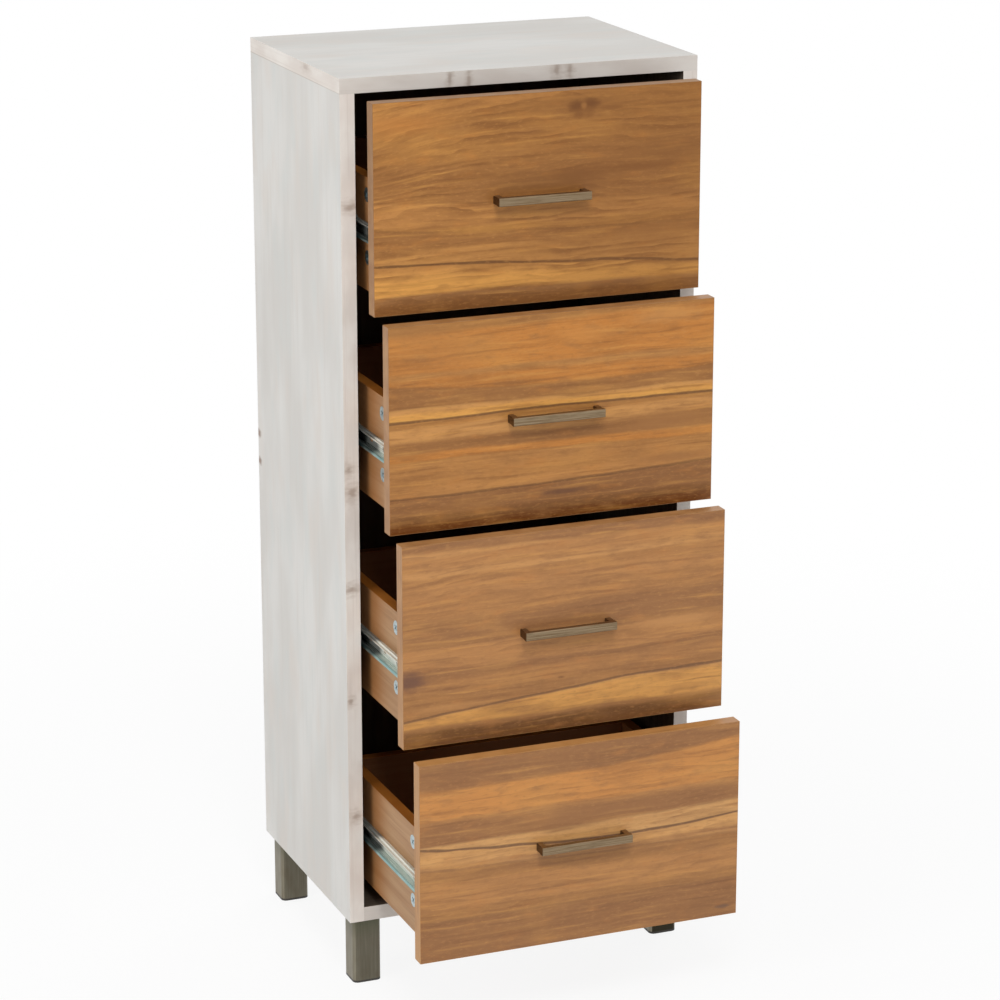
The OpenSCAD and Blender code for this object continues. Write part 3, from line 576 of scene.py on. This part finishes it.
# Front edge strips. The same melamine strip closes all four edges of a front, in a plain print. It
# is paler on the lower fronts, a painted highlight that gives a thin light outline, and darker on
# the top one, as painted shade.
LOW_FRONTS = (150.0, 600.0)  # heights over which the painted highlight fades out
TOP_FRONT = (700.0, 950.0)  # heights over which the painted shade sets in
front_strip = Finish("front_strip", roughness=0.4, gloss=0.35)
strip_lines = front_strip.noise((60.0, 3.0, 60.0), seed=3.0, detail=3.0)
strip_cloud = front_strip.noise((25.0, 25.0, 25.0), seed=6.0)
strip_cloud = front_strip.ramp(strip_cloud, 0.36, 0.64)
strip_shade = front_strip.blend(strip_cloud, tone(152, 107, 64), tone(168, 123, 78))
up = front_strip.axes(front_strip.place)[2]
low_fronts_highlight = front_strip.ramp(up, *LOW_FRONTS, 0.6, 0.0)
strip_shade = front_strip.blend(low_fronts_highlight, strip_shade, tone(192, 138, 76))
top_front_shade = front_strip.ramp(up, *TOP_FRONT, 0.0, 0.4)
strip_shade = front_strip.blend(top_front_shade, strip_shade, tone(112, 78, 42))
strip_lines = front_strip.ramp(strip_lines, 0.5, 0.7, 0, 0.5)
front_strip.feed(front_strip.blend(strip_lines, strip_shade, tone(134, 92, 52)))
for k in DRAWERS:
    board = f"drawer_front_{k}"
    strips(f"edging_front_{k}", f"drawer_{k}", front_strip, [
        edge(board, "X", -1), edge(board, "X", 1),
        edge(board, "Z", -1, STRIP_T), edge(board, "Z", 1, STRIP_T),
    ])


# Drawer boxes. The side and rear walls are 12 mm chipboard with a plain brown wood print and a
# strip along their top edges, and the base is a 3 mm printed sheet held in grooves. Cam locks
# pull the side walls to the front, and long screws hold the rear wall.
REAR_SHADE_Y = (-205.0, -150.0)  # places along Y, over which painted shade sets in towards the carcass


def box_wood(name, face, axis, shade_tone=tone(150, 92, 42), share=0.0):
    """The brown print of the drawer boxes, with its grain along one axis. It is deeper towards
    the rear as painted shade, or all over as painted shade where a share is given."""
    finish = Finish(name, roughness=0.5, gloss=0.3)
    growth = finish.noise(grain(axis, 240.0, 7.0), seed=3.0, detail=3.0)
    pores = finish.noise(grain(axis, 60.0, 1.4), seed=7.0, detail=2.0)
    colour = finish.blend(finish.ramp(growth, 0.34, 0.66), tone(176, 138, 100), tone(162, 121, 83))
    colour = finish.blend(finish.ramp(pores, 0.55, 0.7, 0, 0.3), colour, tone(116, 76, 44))
    rear = finish.ramp(finish.axes(finish.place)[1], *REAR_SHADE_Y, share, max(share, 0.6))
    colour = finish.blend(rear, colour, shade_tone)
    finish.feed(finish.blend(finish.facing_along(face), chipboard(finish), colour))
    finish.relief(pores, -0.03, 0.4)
    return finish


side_wood = box_wood("box_side_wood", "X", "Y")
# The rear walls stand deep inside the carcass and are darkened all over as painted shade.
rear_wood = box_wood("box_rear_wood", "Y", "X", tone(88, 44, 14), 0.8)
base_sheet = box_wood("box_base_sheet", "Z", "X")
rim = Finish("box_strip", roughness=0.42, gloss=0.35)
rim_lines = rim.noise((30.0, 90.0, 3.0), seed=2.0, detail=3.0)
rim.feed(rim.blend(rim.ramp(rim_lines, 0.36, 0.64), tone(166, 104, 42), tone(140, 82, 28)))
for k in DRAWERS:
    walls = [f"drawer_left_wall_{k}", f"drawer_right_wall_{k}"]
    dress(walls, side_wood)
    dress([f"drawer_rear_wall_{k}"], rear_wood)
    dress([f"drawer_base_{k}"], base_sheet)
    strips(f"edging_box_{k}", f"drawer_{k}", rim,
           [edge(board, "Z", 1) for board in [*walls, f"drawer_rear_wall_{k}"]])
    dress([f"drawer_cam_fittings_{k}"], cam_zinc)
    dress([f"drawer_screws_{k}"], screw_steel)


# Handles. A square-edged bar with a foot at each end, die-cast, brushed along its length and
# plated in a warm nickel tone. Two screws through the front hold it.
handle_nickel = Finish("handle_nickel", roughness=0.3, metallic=1.0)
fine_lines = handle_nickel.noise((60.0, 0.5, 0.5), seed=3.0, detail=3.0)
cast = handle_nickel.noise((18.0, 6.0, 3.0), seed=8.0, detail=2.0)
bar = handle_nickel.ramp(fine_lines, 0.35, 0.65)
bar = handle_nickel.blend(bar, tone(122, 100, 74), tone(156, 138, 112))
# The end faces are darker, as painted shade.
ends = handle_nickel.math("MULTIPLY", handle_nickel.facing_along("X"), 0.7)
bar = handle_nickel.blend(ends, bar, tone(62, 48, 34))
patches = handle_nickel.ramp(cast, 0.45, 0.7, 0, 0.4)
handle_nickel.feed(handle_nickel.blend(patches, bar, tone(106, 88, 64)))
handle_nickel.feed(handle_nickel.ramp(fine_lines, 0.3, 0.7, 0.26, 0.4), "Roughness")
handle_nickel.relief(fine_lines, 0.015, 0.4)
dress([f"drawer_handle_{k}" for k in DRAWERS], handle_nickel)


# Studio. A pale floor that fades into a white room and keeps the cabinet's shadow, with soft lamps
# at the level at which a finish shows its own colour.
def seen(tree):
    """1 where the camera sees a surface, directly, in metal or through glass."""
    path = tree.nodes.new("ShaderNodeLightPath")
    total = path.outputs["Is Camera Ray"]
    for name in ("Is Glossy Ray", "Is Transmission Ray"):
        join = tree.nodes.new("ShaderNodeMath")
        join.operation = "MAXIMUM"
        tree.links.new(total, join.inputs[0])
        tree.links.new(path.outputs[name], join.inputs[1])
        total = join.outputs[0]
    return total


FLOOR_HALF = 6.0
FLOOR_GREY = 0.82
FADE = (350.0, 1700.0)  # from the cabinet's middle, over which the floor turns white
ROOM_LIGHT = 0.55
corners = [(x * FLOOR_HALF, y * FLOOR_HALF, 0) for x, y in ((-1, -1), (1, -1), (1, 1), (-1, 1))]
floor_mesh = bpy.data.meshes.new("floor")
floor_mesh.from_pydata(corners, [], [(0, 1, 2, 3)])
floor = bpy.data.objects.new("floor", floor_mesh)
bpy.context.scene.collection.objects.link(floor)
floor_paint = Finish("floor_paint", roughness=0.9, gloss=0.0)
floor_paint.surface.inputs["Base Color"].default_value = (FLOOR_GREY, FLOOR_GREY, FLOOR_GREY, 1)
floor_mesh.materials.append(floor_paint.material)
away = floor_paint.ramp(floor_paint.length(floor_paint.place), *FADE, 0.89, 1.0)
white_share = floor_paint.math("MULTIPLY", seen(floor_paint.tree), away)
bright = floor_paint.tree.nodes.new("ShaderNodeEmission")
under, over = floor_paint.surface.outputs[0], bright.outputs[0]
mixed = floor_paint.node("MixShader", {0: white_share, 1: under, 2: over})
floor_paint.tree.links.new(mixed.outputs[0], floor_paint.tree.nodes["Material Output"].inputs[0])

room = bpy.data.worlds.new("room")
bpy.context.scene.world = room
room.use_nodes = True
tree = room.node_tree
air = tree.nodes["Background"]
air.inputs["Strength"].default_value = ROOM_LIGHT
wall = tree.nodes.new("ShaderNodeBackground")
for background in (air, wall):
    background.inputs["Color"].default_value = (1, 1, 1, 1)
choice = tree.nodes.new("ShaderNodeMixShader")
tree.links.new(seen(tree), choice.inputs[0])
tree.links.new(air.outputs[0], choice.inputs[1])
tree.links.new(wall.outputs[0], choice.inputs[2])
tree.links.new(choice.outputs[0], tree.nodes["World Output"].inputs[0])

AIM_HEIGHT = 0.5
LAMPS = {  # each with its place, its watts and its width
    "side_lamp": ((-3.3, -1.5, 2.0), 45.0, 1.6),
    "front_lamp": ((-0.8, -2.9, 3.6), 70.0, 1.2),
    "fill_lamp": ((3.2, 2.4, 2.0), 36.0, 2.0),
}
for name, (place, watts, size) in LAMPS.items():
    lamp = bpy.data.lights.new(name, "AREA")
    lamp.energy = watts
    lamp.size = size
    holder = bpy.data.objects.new(name, lamp)
    holder.location = place
    aim = holder.location.copy()
    aim.z -= AIM_HEIGHT
    holder.rotation_euler = aim.to_track_quat("Z", "Y").to_euler()
    bpy.context.scene.collection.objects.link(holder)
bpy.context.scene.view_settings.view_transform = "Standard"
